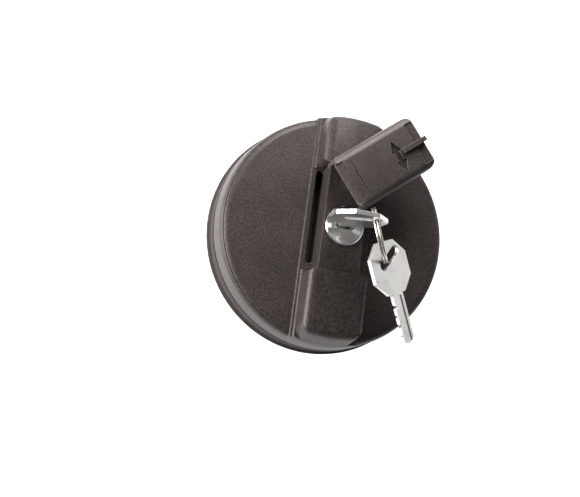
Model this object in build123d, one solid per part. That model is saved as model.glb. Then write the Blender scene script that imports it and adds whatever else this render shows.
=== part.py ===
"""Locking fuel filler cap for a van: turning shell, threaded plug, lock, lid and keys.

Millimetres. The origin is on the cap's axis in the plane of the skirt's lower rim.
+Z points outwards from the filler neck, +Y runs along the handle bar towards the lid's pin.
"""
from build123d import *
import math
import os

# ---------------------------------------------------------------- driving dimensions
# clearances
RUN = 0.05            # radial clearance of a turning shaft in its bore
GAP = 0.3             # gap between faces that move past each other
SNUG = 0.02           # radial clearance of a pressed or moulded-in piece

# shell: skirt and face
BAND_R = 57.6         # radius of the skirt's tapered band at its foot
BAND_TAPER = 1.8      # the band is this much narrower at the top, before rounding
BAND_Z = 7.0          # foot of the band
LIP_OUT = 1.4         # reach of the rolled lip at the skirt's foot beyond the band
LIP_H = 2.2           # height of the lip
NECK_CUT = 0.4        # depth of the groove between lip and band
FACE_Z = 26.0         # outer face of the cap
SHOULDER_FILLET = 4.5
SKIRT_WALL = 2.6
FACE_WALL = 3.0
BEAD_W = 0.55         # parting groove round the shoulder

# handle bar with its plinth, and the recess for the lid
BAR_HALF = 14.6       # half width at the foot
BAR_DRAFT = 0.4
BAR_TOP = 40.2        # top at the long edges
RIDGE = 0.6           # rise of the centre line of the bar
BAR_FILLET = 3.0
BAR_SET_BACK = 4.2    # the bar's ends lie this far inside the shoulder at the top
BAR_END_FILLET = 5.0
BAR_CORNER = 4.0      # upright corners of the bar's two parts, beside the recess
BAR_END_CORNER = 8.0  # upright corners at the bar's ends
BAR_END_ROOM = 0.4    # play of the corners' outline round the bar
CUT = 5.0             # reach of the cutters past the outside
BAR_WALL = 2.6
PLINTH_HALF = 16.5
PLINTH_H = 1.0
FOOT_FILLET = 1.0
PLINTH_EDGE = 0.6
RECESS_LOW = -22.0    # lower end of the recess along Y
RECESS_HIGH = 28.0    # upper end of the recess along Y
BLOCK_HALF = 10.1     # half width of the block that holds the lock
LID_THICK = 2.7       # roof of the lid
BLOCK_SINK = 3.0      # the block's top lies this far below the bar's top
SLOT_W = 3.8
SLOT_LOW = -18.5
SLOT_DEPTH = 8.3
BOSS_Z = 16.2         # underside of the thick middle of the shell

# lock
HOUSING_R = 8.0
CYL_R = 6.0
HOUSING_LOW = 18.9
HOUSING_LIP = 0.2
FACE_DISC_R = 9.3
FACE_DISC_T = 0.9
FACE_SLOT_LONGER = 2.4
KEYWAY_W = 7.4
KEYWAY_T = 2.3
KEYWAY_FLOOR = 20.3
WAFERS = 5
WAFER_PITCH = 2.7
WAFER_T = 1.0
WAFER_HALF = 5.0      # half width of a wafer across the keyway
WAFER_SIDE = 2.4      # half width of a wafer along the keyway's short side
CAM_R = 7.4
CAM_T = 2.0
TONGUE_W = 5.0        # tongue of the cylinder in the cam
TONGUE_T = 2.0
TONGUE_PLAY = 0.1     # between the tongue and each side of its slot
CAM_PIN_R = 1.3
CAM_PIN_RADIUS = 4.0
LOCK_TURN = 60.0      # degrees, clockwise from the rest position

# lock bolt and its guide
BOLT_HALF = 6.2
BOLT_T = 3.8
BOLT_TAIL = 8.0
BOLT_SLACK = 0.25     # play of the cam's pin in the bolt's cross slot
NOSE_HALF = 2.5
NOSE_LEN = 7.0
NOSE_GAP = 0.7        # from the drawn-back nose to the teeth
RAIL_W = 4.4
RAIL_LOW = -16.0
RAIL_HIGH = 10.0
GUIDE_T = 1.5
SCREW_R = 1.1
SCREW_HEAD_R = 2.0
SCREW_HEAD_H = 1.2
SCREW_INSET = 2.8

# plug
THREAD_R = 33.3       # cylinder under the thread
SEAT_STEP = 0.6       # shoulder that the gasket and its retainer sit on
FLANGE_EDGE = 1.6     # reach of the flange beyond the gasket
FLANGE_Z = 8.5
FLANGE_T = 2.0
NECK_STEP = 1.3       # the neck is this much narrower than the thread's cylinder
NECK_WALL = 3.0
NECK_TOP = 15.6
THREAD_LOW = -18.0
LIP_GROOVE = 2.0
LIP_STEP = 0.2        # the end lip is this much narrower than the thread's cylinder
PLUG_END = -27.0
END_WALL = 2.6
DISH = 0.8
END_RIM = 3.0         # flat rim round the dished end
END_SLOPE = 1.0       # width of the slope inside the rim

# hub of the shell round the plug's neck
HUB_WALL = 3.4
HUB_FOOT = 11.5
CLIP_Z = 13.2
CLIP_T = 1.2
CLIP_BITE = 1.2
CLIP_SPLIT = 12.0
WASHER_T = 0.7

# drive plate with its ring of teeth
PLATE_Z = 0.0
PLATE_T = 2.5
TEETH_DEEP = 4.0      # radial length of a tooth
TEETH_ROOT = 11.0
TEETH_TOP = 15.4
TEETH = 12
NOTCH_HALF = 3.1

# seal
SEAL_W = 5.5          # radial width of the gasket
SEAL_T = 4.0
RETAINER_W = 2.9
RETAINER_T = 1.2

# vent boss on the plug's end
BOSS_R = 14.6
BOSS_BASE_R = 16.0
BOSS_BASE_T = 1.4
BOSS_H = 9.0
BOSS_STEP_R = 12.4
BOSS_STEP_H = 4.0
NUB_R = 8.4
NUB_H = 6.0
VENT_R = 0.9
BOSS_WALL = 2.4
RIB_T = 1.5
RIB_SHORT = 6.1       # from the ribs' tips to the end lip
RIBS = 4
VALVE_R = 6.0
VALVE_T = 1.6
VALVE_STEM_R = 1.6
VALVE_TRAVEL = 1.5
VENT_CAP_T = 1.5
VENT_SPRING_WIRE = 0.7
VENT_SPRING_R = 4.0
VENT_SPRING_TURNS = 4

# lid, its pin and the spring under the block
PIVOT_Y = 20.0
PIN_R = 2.0
PIN_GUIDE = 9.5       # length of the pin's bearing below the block's top
PIN_POCKET_R = 4.4
LID_BACK = 7.5        # from the pin to the near end
LID_FRONT = 36.9      # from the pin to the far end
LID_HALF = 13.7
LID_H = 12.0
LID_DRAFT = 0.3
LID_WALL = 2.3
LID_FILLET = 4.2
LID_CORNER = 4.6
LID_HEADING = 40.7    # degrees, direction of the open lid
LID_RAIL = 3.4        # width of each rounded rail along the roof
LID_GROOVE = -0.4     # groove between the roof and the roll
ROLL_STEP = 0.4
ROLL_DROP = 1.9
LAND_LEN = 5.0
LAND_DROP = 1.1
FIN_T = 2.3
FIN_BACK = 24.2
FIN_PAST = 0.6
FIN_PROUD = 1.7
ARROW_X = 21.6
ARROW_LEN = 15.6
ARROW_SHAFT = 2.4
ARROW_HEAD = 5.6
ARROW_DEPTH = 0.8
PIN_TAIL = 7.0        # the pin runs this far below its bearing when the lid is up
LID_CLIP_T = 0.8
LID_WASHER_T = 0.6
LID_SPRING_WIRE = 0.8
LID_SPRING_TURNS = 4

# keys and ring
KEY_T = 1.9
BOW_HALF = 12.0
BOW_CHAMFER = 6.6
BLADE_W = 6.8
BLADE_LEN = 22.6
KEY_STOP = 43.5       # height of the bow's lower edge with the key in the lock
EYE_R = 2.2
EYE_A = (-4.5, 1.5)   # ends of the slanted eye, from the bow's middle
EYE_B = (5.5, 7.0)
BITS = 4
BLADE_PLAIN = 5.0     # length of the blade without bits
BIT_DEPTH = 1.3
GROOVE_W = 1.5
GROOVE_DEPTH = 0.4
RING_R = 12.1         # mean radius of the split ring
RING_WIRE = 0.72      # half thickness of one coil
RING_EYE = (5.4, 6.95)                # where the ring passes the first key's eye
RING_LEAN = (0.514, -0.425, -0.745)   # from the first key's eye to the ring's middle
RING_ACROSS = (-0.376, 0.923, 0.076)  # from the second key's eye across the ring
SPARE_EYE = (-1.8, 2.8)               # where the ring passes the second key's eye
SPARE_BLADE = (0.409, -0.910, -0.075)  # way the second key points
SPARE_FACE = (0.404, 0.106, 0.909)    # way the second key's flat side faces

# ---------------------------------------------------------------- derived sizes
RIM_R = BAND_R + LIP_OUT
NECK_R = BAND_R - NECK_CUT
SHOULDER_R = BAND_R - BAND_TAPER
BAR_END_R = SHOULDER_R - BAR_SET_BACK
BAR_END_Y = BAR_END_R + BAR_END_ROOM
SEAT_R = THREAD_R + SEAT_STEP
SEAL_R = SEAT_R + SEAL_W
RETAINER_R = SEAT_R + RETAINER_W
FLANGE_R = SEAL_R + FLANGE_EDGE
LIP_R = THREAD_R - LIP_STEP
NECK_OUT_R = THREAD_R - NECK_STEP
CUP_R = NECK_OUT_R - NECK_WALL
TEETH_IN_R = CUP_R - TEETH_DEEP
RIB_REACH = LIP_R - RIB_SHORT
PLINTH_Z = FACE_Z + PLINTH_H
BLOCK_Z = BAR_TOP - BLOCK_SINK
CEILING_Z = FACE_Z - FACE_WALL
SLOT_IN = BLOCK_HALF
SLOT_OUT = BLOCK_HALF + SLOT_W
HUB_R = NECK_OUT_R + RUN
LID_Z = BAR_TOP + RIDGE + GAP
CYL_TOP = BLOCK_Z + HOUSING_LIP + GAP
CYL_LOW = HOUSING_LOW - GAP
CAM_LOW = CYL_LOW - CAM_T
BOLT_TOP = BOSS_Z - GAP
BOLT_LOW = BOLT_TOP - BOLT_T
RAIL_FOOT = BOLT_LOW - GAP
GUIDE_LOW = RAIL_FOOT - GUIDE_T
RAIL_IN = BOLT_HALF + GAP
RAIL_OUT = RAIL_IN + RAIL_W
CAM_REST = math.radians(LOCK_TURN / 2)
CAM_PIN_X = CAM_PIN_RADIUS * math.cos(CAM_REST)
CAM_PIN_Y = CAM_PIN_RADIUS * math.sin(CAM_REST)
NOSE_REST = TEETH_IN_R - NOSE_GAP
PIN_BORE_LOW = BLOCK_Z - PIN_GUIDE
PIN_LOW = PIN_BORE_LOW - PIN_TAIL
BOW_Z = KEY_STOP + BOW_HALF
CLIP_GROOVE = CLIP_T + 2 * GAP
SEAT_LOW = FLANGE_Z - SEAL_T - RETAINER_T


def cylinder(radius, low, high, x=0.0, y=0.0):
    """Upright round bar between two heights."""
    body = Cylinder(radius, high - low, align=(Align.CENTER, Align.CENTER, Align.MIN))
    return Pos(x, y, low) * body


def tube(outer, inner, low, high, x=0.0, y=0.0):
    """Upright tube between two heights."""
    return cylinder(outer, low, high, x, y) - cylinder(inner, low - 1, high + 1, x, y)


def block(x_low, x_high, y_low, y_high, z_low, z_high):
    """Box between two corners."""
    body = Box(x_high - x_low, y_high - y_low, z_high - z_low,
               align=(Align.MIN, Align.MIN, Align.MIN))
    return Pos(x_low, y_low, z_low) * body


def turned(points):
    """Solid turned about the cap's axis from a closed outline of (radius, height)."""
    outline = Plane.XZ * make_face(Polyline(*points, close=True))
    return revolve(outline, Axis.Z)


def coil(radius, wire, low, high, turns, x=0.0, y=0.0):
    """Round-wire compression spring standing between two heights."""
    rise = high - low - 2 * wire
    path = Pos(x, y, low + wire) * Helix(rise / turns, rise, radius)
    start = path @ 0
    section = Plane(origin=start, z_dir=path % 0) * Circle(wire)
    return sweep(section, path=path, is_frenet=True)


# ---------------------------------------------------------------- shell
def shell_outside():
    """Skirt, shoulder and face turned as one solid, with the rolled lip at the foot."""
    body = turned([
        (0, 0), (RIM_R - 0.6, 0), (RIM_R, 0.6), (RIM_R, LIP_H - 0.6), (RIM_R - 0.6, LIP_H),
        (NECK_R + 0.4, LIP_H + 0.3), (NECK_R, BAND_Z - 0.5), (BAND_R, BAND_Z),
        (SHOULDER_R, FACE_Z), (0, FACE_Z),
    ])
    rim = body.edges().filter_by(GeomType.CIRCLE).sort_by(Axis.Z)[-1]
    return fillet(rim, SHOULDER_FILLET)


def bar_section():
    """Half-and-half outline across the bar: plinth, foot fillets, walls, rounded long edges."""
    top = BAR_HALF - BAR_DRAFT
    outline = Polyline(
        (-PLINTH_HALF, BAND_Z), (-PLINTH_HALF, PLINTH_Z), (-BAR_HALF, PLINTH_Z), (-top, BAR_TOP),
        (0, BAR_TOP + RIDGE), (top, BAR_TOP), (BAR_HALF, PLINTH_Z), (PLINTH_HALF, PLINTH_Z),
        (PLINTH_HALF, BAND_Z), close=True)
    face = make_face(outline)
    corners = face.vertices()
    upper = [v for v in corners if abs(v.Y - BAR_TOP) < 0.01]
    feet = [v for v in corners if abs(v.Y - PLINTH_Z) < 0.01 and abs(abs(v.X) - BAR_HALF) < 0.01]
    edges = [v for v in corners if abs(v.Y - PLINTH_Z) < 0.01 and abs(v.X) > BAR_HALF + 0.5]
    face = fillet(upper, BAR_FILLET)
    feet = [v for v in face.vertices() if any((v.center() - f.center()).length < 0.01 for f in feet)]
    face = fillet(feet, FOOT_FILLET)
    edges = [v for v in face.vertices() if any((v.center() - e.center()).length < 0.01 for e in edges)]
    return fillet(edges, PLINTH_EDGE)


def bar_envelope(inset=0.0, top_inset=0.0):
    """Turned form that ends the bar flush with the skirt's band."""
    top = BAR_TOP + RIDGE + 0.2 - top_inset
    body = turned([(0, BAND_Z), (BAND_R - inset, BAND_Z), (SHOULDER_R - inset, FACE_Z),
                   (BAR_END_R - inset, top), (0, top)])
    rim = body.edges().filter_by(GeomType.CIRCLE).sort_by(Axis.Z)[-1]
    return fillet(rim, BAR_END_FILLET)


def bar_body():
    """Handle bar and plinth across the whole face."""
    length = 2 * RIM_R
    bar = extrude(Plane.XZ * bar_section(), amount=length / 2, both=True) & bar_envelope()
    low = PLINTH_Z + FOOT_FILLET
    high = BAR_TOP + RIDGE + 1
    outside = block(-RIM_R, RIM_R, -RIM_R, RIM_R, low, high)
    for y_low, y_high in ((RECESS_HIGH, RIM_R), (-RIM_R, RECESS_LOW)):
        outside -= bar_plan(y_low, y_high, BAR_CORNER) & bar_plan(-BAR_END_Y, BAR_END_Y, BAR_END_CORNER)
    return bar - outside


def bar_plan(y_low, y_high, corner, inset=0.0):
    """Upright prism with rounded corners that bounds a part of the bar."""
    half = BAR_HALF + BAR_END_ROOM / 2 - inset
    return rounded_slot(-half, half, y_low + inset, y_high - inset, BAND_Z, BAR_TOP + CUT, corner - inset)


def rounded_slot(x_low, x_high, y_low, y_high, z_low, z_high, corner):
    """Upright pocket with rounded corners."""
    centre = ((x_low + x_high) / 2, (y_low + y_high) / 2)
    plan = Pos(*centre) * RectangleRounded(x_high - x_low, y_high - y_low, corner)
    return Pos(0, 0, z_low) * extrude(plan, amount=z_high - z_low)


def outer_shell():
    """One moulding: skirt, face, bar, lock block, hub and the guide for the bolt."""
    shell = shell_outside() + bar_body()

    # the middle of the bar is cut down to the plinth, leaving the lock block
    above = BAR_TOP + RIDGE + CUT
    recess = rounded_slot(-RIM_R / 2, RIM_R / 2, RECESS_LOW, RECESS_HIGH, PLINTH_Z, above, 1.0)
    shell -= recess
    shell += block(-BLOCK_HALF, BLOCK_HALF, RECESS_LOW - 1, RECESS_HIGH + 1, PLINTH_Z - 1, BLOCK_Z)

    # hollow skirt
    inner = BAND_R - SKIRT_WALL
    hollow = turned([(0, -1), (RIM_R - SKIRT_WALL, -1), (inner, LIP_H + 2),
                     (SHOULDER_R - SKIRT_WALL + 0.4, CEILING_Z), (0, CEILING_Z)])
    keep = block(-PLINTH_HALF, PLINTH_HALF, RECESS_LOW - 2, RECESS_HIGH + 2, BOSS_Z, CEILING_Z + 1)
    hub = tube(HUB_R + HUB_WALL, HUB_R, HUB_FOOT, CEILING_Z + 1)
    shell = shell - hollow + keep + hub
    shell -= cylinder(HUB_R, HUB_FOOT - 1, BOSS_Z)

    # hollow ends of the bar, open downwards
    half = BAR_HALF - BAR_WALL
    ends = bar_envelope(BAR_WALL, BAR_WALL)
    ends &= bar_plan(-BAR_END_Y, BAR_END_Y, BAR_END_CORNER, BAR_WALL)
    for low, high in ((-RIM_R, RECESS_LOW - BAR_WALL), (RECESS_HIGH + BAR_WALL, RIM_R)):
        shell -= block(-half, half, low, high, CEILING_Z - 1, BAR_TOP - BAR_WALL) & ends

    # narrow slots beside the block
    for side in (-1, 1):
        x_low, x_high = sorted((side * SLOT_IN, side * SLOT_OUT))
        shell -= rounded_slot(x_low, x_high, SLOT_LOW, RECESS_HIGH - 1, PLINTH_Z - SLOT_DEPTH,
                              PLINTH_Z + 1, SLOT_W / 2 - 0.1)

    # rails beside the bolt, with blind holes for the guide's screws
    for side in (-1, 1):
        x_low, x_high = sorted((side * RAIL_IN, side * RAIL_OUT))
        shell += block(x_low, x_high, RAIL_LOW, RAIL_HIGH, RAIL_FOOT, BOSS_Z + 1)
    for x, y in guide_screw_places():
        shell -= cylinder(SCREW_R + SNUG, RAIL_FOOT - 1, BOSS_Z + 2, x, y)

    # bores for the lock housing and the lid's pin, with the spring pocket below
    shell -= cylinder(HOUSING_R + SNUG, BOSS_Z, BLOCK_Z + 1)
    shell -= cylinder(PIN_R + RUN, BOSS_Z - 1, BLOCK_Z + 1, 0, PIVOT_Y)
    shell -= cylinder(PIN_POCKET_R, BOSS_Z - 1, PIN_BORE_LOW, 0, PIVOT_Y)

    # groove for the ring that keeps the plug in the hub
    shell -= tube(HUB_R + CLIP_BITE, HUB_R - 1, CLIP_Z, CLIP_Z + CLIP_T)

    # fine parting groove round the shoulder, interrupted by the bar
    angle = math.radians(45)
    middle_r = SHOULDER_R - SHOULDER_FILLET * (1 - math.cos(angle))
    middle_z = FACE_Z - SHOULDER_FILLET * (1 - math.sin(angle))
    groove = Pos(middle_r, middle_z) * Rot(0, 0, 45) * Rectangle(BEAD_W, BEAD_W)
    ring = revolve(Plane.XZ * groove, Axis.Z)
    return shell - (ring - block(-PLINTH_HALF, PLINTH_HALF, -RIM_R, RIM_R, 0, above))


def guide_screw_places():
    """Middle of each screw that holds the bolt's guide plate."""
    x = (RAIL_IN + RAIL_OUT) / 2
    return [(side * x, y) for side in (-1, 1)
            for y in (RAIL_LOW + SCREW_INSET, RAIL_HIGH - SCREW_INSET)]


# ---------------------------------------------------------------- plug
def threaded_plug():
    """Deep cup with a sealing flange, a neck that turns in the hub, and a thick end lip."""
    lip_top = THREAD_LOW - LIP_GROOVE
    outside = turned([
        (0, PLUG_END + DISH), (LIP_R - END_RIM - END_SLOPE, PLUG_END + DISH), (LIP_R - END_RIM, PLUG_END),
        (LIP_R - 1.2, PLUG_END), (LIP_R, PLUG_END + 1.2), (LIP_R, lip_top), (LIP_R - 1.6, lip_top),
        (LIP_R - 1.6, THREAD_LOW), (THREAD_R, THREAD_LOW), (THREAD_R, SEAT_LOW), (SEAT_R, SEAT_LOW),
        (SEAT_R, FLANGE_Z),
        (FLANGE_R - 0.5, FLANGE_Z), (FLANGE_R, FLANGE_Z + 0.5), (FLANGE_R, FLANGE_Z + FLANGE_T),
        (NECK_OUT_R, FLANGE_Z + FLANGE_T), (NECK_OUT_R, NECK_TOP), (0, NECK_TOP),
    ])
    floor = PLUG_END + DISH + END_WALL
    body = outside - cylinder(CUP_R, floor, NECK_TOP + 1)
    groove_z = CLIP_Z - GAP
    body -= tube(NECK_OUT_R + 1, NECK_OUT_R - CLIP_BITE, groove_z, groove_z + CLIP_GROOVE)
    seat = VALVE_R + GAP
    return body - cylinder(seat, PLUG_END - 1, floor + 1)


def retaining_ring():
    """Split spring ring, seated in the hub's groove and reaching into the plug's."""
    inner = NECK_OUT_R - CLIP_BITE + GAP
    ring = tube(HUB_R + CLIP_BITE - SNUG, inner, CLIP_Z + SNUG, CLIP_Z + CLIP_T - SNUG)
    return ring - block(0, HUB_R + CLIP_BITE + 1, -CLIP_SPLIT / 2, CLIP_SPLIT / 2,
                        CLIP_Z - 1, CLIP_Z + CLIP_T + 1)


def thrust_washer():
    """Plain washer on the flange, under the hub's foot."""
    low = FLANGE_Z + FLANGE_T
    return tube(HUB_R + HUB_WALL, NECK_OUT_R + RUN, low, low + WASHER_T)


def drive_plate():
    """Disc pressed into the cup, with a ring of upright teeth for the bolt."""
    edge = CUP_R - SNUG
    plate = cylinder(edge, PLATE_Z, PLATE_Z + PLATE_T)
    plate += tube(edge, TEETH_IN_R, PLATE_Z, TEETH_TOP)
    notch = block(-NOTCH_HALF, NOTCH_HALF, -CUP_R - 1, -TEETH_IN_R + 2, TEETH_ROOT, TEETH_TOP + 1)
    for step in range(TEETH):
        plate -= Rot(0, 0, step * 360 / TEETH) * notch
    for step in range(RIBS):
        hole = cylinder(2.5, PLATE_Z - 1, PLATE_Z + PLATE_T + 1, TEETH_IN_R * 0.6, 0)
        plate -= Rot(0, 0, 45 + step * 360 / RIBS) * hole
    return plate


def seal_ring():
    """Rubber gasket under the flange, with rounded lips."""
    inner = SEAT_R + SNUG
    top = FLANGE_Z
    foot = top - SEAL_T
    return turned([(inner, foot), (SEAL_R - 1.4, foot), (SEAL_R - 0.4, foot + 0.5),
                   (SEAL_R, foot + 1.4), (SEAL_R - 1.0, foot + SEAL_T / 2), (SEAL_R, top - 1.0),
                   (SEAL_R - 0.5, top), (inner, top)])


def seal_retainer():
    """Thin ring pressed on the plug, keeping the gasket against the flange."""
    top = FLANGE_Z - SEAL_T
    inner = SEAT_R + SNUG
    return turned([(inner, SEAT_LOW), (RETAINER_R - 0.5, SEAT_LOW), (RETAINER_R, SEAT_LOW + 0.5),
                   (RETAINER_R, top), (inner, top)])


# ---------------------------------------------------------------- vent
def vent_levels():
    """Heights down the vent boss: seat on the plug, base ring, barrel, step and nub."""
    seat = PLUG_END + DISH
    barrel = seat - BOSS_H
    step = barrel - BOSS_STEP_H
    return seat, barrel, step, step - NUB_H


def vent_boss():
    """Stepped boss under the plug's end, with four ribs and a small breather hole."""
    seat, barrel, step, nub = vent_levels()
    body = turned([
        (0, nub), (NUB_R - 0.8, nub), (NUB_R, nub + 0.8), (NUB_R, step), (BOSS_STEP_R - 0.6, step),
        (BOSS_STEP_R, step + 0.6), (BOSS_STEP_R, barrel), (BOSS_R - 0.6, barrel),
        (BOSS_R, barrel + 0.6), (BOSS_R, seat - BOSS_BASE_T), (BOSS_BASE_R, seat - BOSS_BASE_T),
        (BOSS_BASE_R, seat), (0, seat),
    ])
    rib = make_face(Polyline((BOSS_R - 1, seat), (RIB_REACH, seat), (BOSS_R - 1, barrel + 3), close=True))
    rib = extrude(Plane.XZ * rib, amount=RIB_T / 2, both=True)
    for count in range(RIBS):
        body += Rot(0, 0, 45 + count * 360 / RIBS) * rib
    bore = VALVE_R + GAP
    body -= cylinder(bore, step + BOSS_WALL, seat + 1)
    return body - cylinder(VENT_R, nub - 1, seat)


def vent_valve():
    """Small poppet that closes the breather hole, with a guide stem."""
    seat, barrel, step, nub = vent_levels()
    low = step + BOSS_WALL
    top = seat - VENT_CAP_T - VALVE_TRAVEL
    return cylinder(VALVE_R, low, low + VALVE_T) + cylinder(VALVE_STEM_R, low, top)


def vent_spring():
    """Light spring that holds the poppet on its seat."""
    seat, barrel, step, nub = vent_levels()
    low = step + BOSS_WALL + VALVE_T
    return coil(VENT_SPRING_R, VENT_SPRING_WIRE / 2, low, seat - VENT_CAP_T, VENT_SPRING_TURNS)


def vent_cap():
    """Pressed disc that closes the valve chamber and carries the spring."""
    seat, barrel, step, nub = vent_levels()
    disc = cylinder(VALVE_R + GAP - SNUG, seat - VENT_CAP_T, seat)
    return disc - cylinder(VALVE_STEM_R + GAP, seat - VENT_CAP_T - 1, seat + 1)


# ---------------------------------------------------------------- lock
def lock_housing():
    """Barrel that holds the turning cylinder, with a thin lip on the block."""
    body = cylinder(HOUSING_R, HOUSING_LOW, BLOCK_Z)
    body += cylinder(FACE_DISC_R - 0.2, BLOCK_Z, BLOCK_Z + HOUSING_LIP)
    return body - cylinder(CYL_R + RUN, HOUSING_LOW - 1, BLOCK_Z + 1)


def lock_cylinder():
    """Turning core with its keyway, the wafers' slots and a tongue for the cam."""
    body = cylinder(CYL_R, CYL_LOW, CYL_TOP)
    body += block(-TONGUE_W / 2, TONGUE_W / 2, -TONGUE_T / 2, TONGUE_T / 2, CYL_LOW - CAM_T / 2, CYL_LOW + 1)
    body -= block(-KEYWAY_W / 2, KEYWAY_W / 2, -KEYWAY_T / 2, KEYWAY_T / 2, KEYWAY_FLOOR, CYL_TOP + 1)
    for z in wafer_heights():
        body -= wafer_blank(GAP / 2, z)
    return body - cylinder(1.0 + SNUG, CAM_LOW - 1, KEYWAY_FLOOR - 0.3)


def wafer_heights():
    """Lower face of each wafer along the cylinder."""
    first = KEYWAY_FLOOR + 1.6
    return [first + step * WAFER_PITCH for step in range(WAFERS)]


def wafer_blank(grow, z):
    """Outline of one wafer, grown all round for its slot."""
    return block(-WAFER_HALF - grow, WAFER_HALF + grow, -WAFER_SIDE - grow, WAFER_SIDE + grow,
                 z - grow, z + WAFER_T + grow)


def lock_wafers():
    """Flat brass tumblers, each with a window for the blade."""
    window = block(-KEYWAY_W / 2, KEYWAY_W / 2, -KEYWAY_T / 2, KEYWAY_T / 2, KEYWAY_FLOOR, CYL_TOP)
    return Compound(children=[wafer_blank(0, z) - window for z in wafer_heights()])


def lock_face():
    """Bright disc pressed on the cylinder, with the key's slot."""
    body = cylinder(FACE_DISC_R, CYL_TOP, CYL_TOP + FACE_DISC_T)
    rim = body.edges().filter_by(GeomType.CIRCLE).sort_by(Axis.Z)[-1]
    body = chamfer(rim, FACE_DISC_T * 0.5)
    plan = SlotOverall(KEYWAY_W + FACE_SLOT_LONGER, KEYWAY_T + GAP)
    slot = Pos(0, 0, CYL_TOP - 1) * extrude(plan, amount=FACE_DISC_T + 2)
    return body - slot


def lock_cam():
    """Disc under the cylinder, with the pin that shifts the bolt."""
    body = cylinder(CAM_R, CAM_LOW, CYL_LOW)
    half_w = TONGUE_W / 2 + TONGUE_PLAY
    half_t = TONGUE_T / 2 + TONGUE_PLAY
    body -= block(-half_w, half_w, -half_t, half_t, CYL_LOW - CAM_T / 2, CYL_LOW + 1)
    body += cylinder(CAM_PIN_R, BOLT_LOW + GAP, CAM_LOW + 0.5, CAM_PIN_X, CAM_PIN_Y)
    screw = cylinder(1.0 + SNUG, CAM_LOW - 1, CYL_LOW) + cam_screw_head(SNUG)
    return body - screw


def cam_screw_head(grow):
    """Countersunk head flush with the cam's underside."""
    wide = 1.9 + grow
    return Pos(0, 0, CAM_LOW) * Cone(wide, 1.0 + grow, 0.9, align=(Align.CENTER, Align.CENTER, Align.MIN))


def cam_screw():
    """Small countersunk screw that holds the cam to the cylinder."""
    body = cylinder(1.0, CAM_LOW, KEYWAY_FLOOR - 0.5) + cam_screw_head(0)
    return body - block(-1.3, 1.3, -0.25, 0.25, CAM_LOW - 1, CAM_LOW + 0.4)


def locking_bolt():
    """Flat bolt with a cross slot for the cam's pin and a nose for the drive teeth."""
    body = block(-BOLT_HALF, BOLT_HALF, -NOSE_REST + NOSE_LEN, BOLT_TAIL, BOLT_LOW, BOLT_TOP)
    body += block(-NOSE_HALF, NOSE_HALF, -NOSE_REST, -NOSE_REST + NOSE_LEN + 1, BOLT_LOW, BOLT_TOP)
    reach = CAM_PIN_R + BOLT_SLACK
    slot = block(CAM_PIN_X - reach, CAM_PIN_RADIUS + reach, CAM_PIN_Y - reach, CAM_PIN_Y + reach,
                 BOLT_LOW - 1, BOLT_TOP + 1)
    return body - slot


def bolt_guide():
    """Plate screwed under the rails, so that the bolt slides between them."""
    body = block(-RAIL_OUT, RAIL_OUT, RAIL_LOW, RAIL_HIGH, GUIDE_LOW, RAIL_FOOT)
    for x, y in guide_screw_places():
        body -= cylinder(SCREW_R + GAP, GUIDE_LOW - 1, RAIL_FOOT + 1, x, y)
    return body


def guide_screws():
    """Four pan-head screws of the bolt's guide plate."""
    screws = []
    for x, y in guide_screw_places():
        screw = cylinder(SCREW_R, GUIDE_LOW, BOSS_Z + 1.5, x, y)
        screw += cylinder(SCREW_HEAD_R, GUIDE_LOW - SCREW_HEAD_H, GUIDE_LOW, x, y)
        screws.append(screw)
    return Compound(children=screws)


# ---------------------------------------------------------------- lid
def lid_place():
    """Frame of the open lid: its pin's axis, with X towards the far end."""
    return Pos(0, PIVOT_Y, LID_Z) * Rot(0, 0, LID_HEADING)


def lid_blank():
    """Outside of the lid: rounded plan, crowned section, roll and land at its ends."""
    length = LID_BACK + LID_FRONT
    middle = (LID_FRONT - LID_BACK) / 2
    plan = Pos(middle, 0) * RectangleRounded(length, 2 * LID_HALF, LID_CORNER)
    body = extrude(plan, amount=LID_H)
    top = LID_HALF - LID_DRAFT
    section = make_face(Polyline((-LID_HALF, 0), (-top, LID_H - 0.5), (0, LID_H), (top, LID_H - 0.5),
                                 (LID_HALF, 0), close=True))
    section = fillet([v for v in section.vertices() if abs(v.Y - LID_H + 0.5) < 0.01], LID_FILLET)
    body &= extrude(Plane.YZ * section, amount=2 * length, both=True)
    side = make_face(Polyline(
        (-LID_BACK, 0), (-LID_BACK, LID_H - 1.4), (-LID_BACK + 2.2, LID_H),
        (LID_FRONT - 1.0, LID_H), (LID_FRONT, LID_H - LAND_DROP), (LID_FRONT, 0), close=True))
    body &= extrude(Plane.XZ * side, amount=2 * LID_HALF, both=True)

    # between the two rounded rails the roof ends in a roll at the pin and a low land at the far end
    rail = LID_HALF - LID_RAIL
    above = LID_H + 1
    step = (LID_GROOVE, LID_H - ROLL_STEP)
    end = (-LID_BACK - 0.1, LID_H - ROLL_DROP)
    crest = ((LID_GROOVE - LID_BACK) / 2, LID_H - ROLL_STEP - 0.15)
    over = ThreePointArc(step, crest, end) + Polyline(end, (end[0], above), (step[0], above), step)
    body -= extrude(Plane.XZ * make_face(over), amount=rail, both=True)
    body -= block(LID_FRONT - LAND_LEN, LID_FRONT + 1, -rail, rail, LID_H - LAND_DROP, above)
    return body


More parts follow.
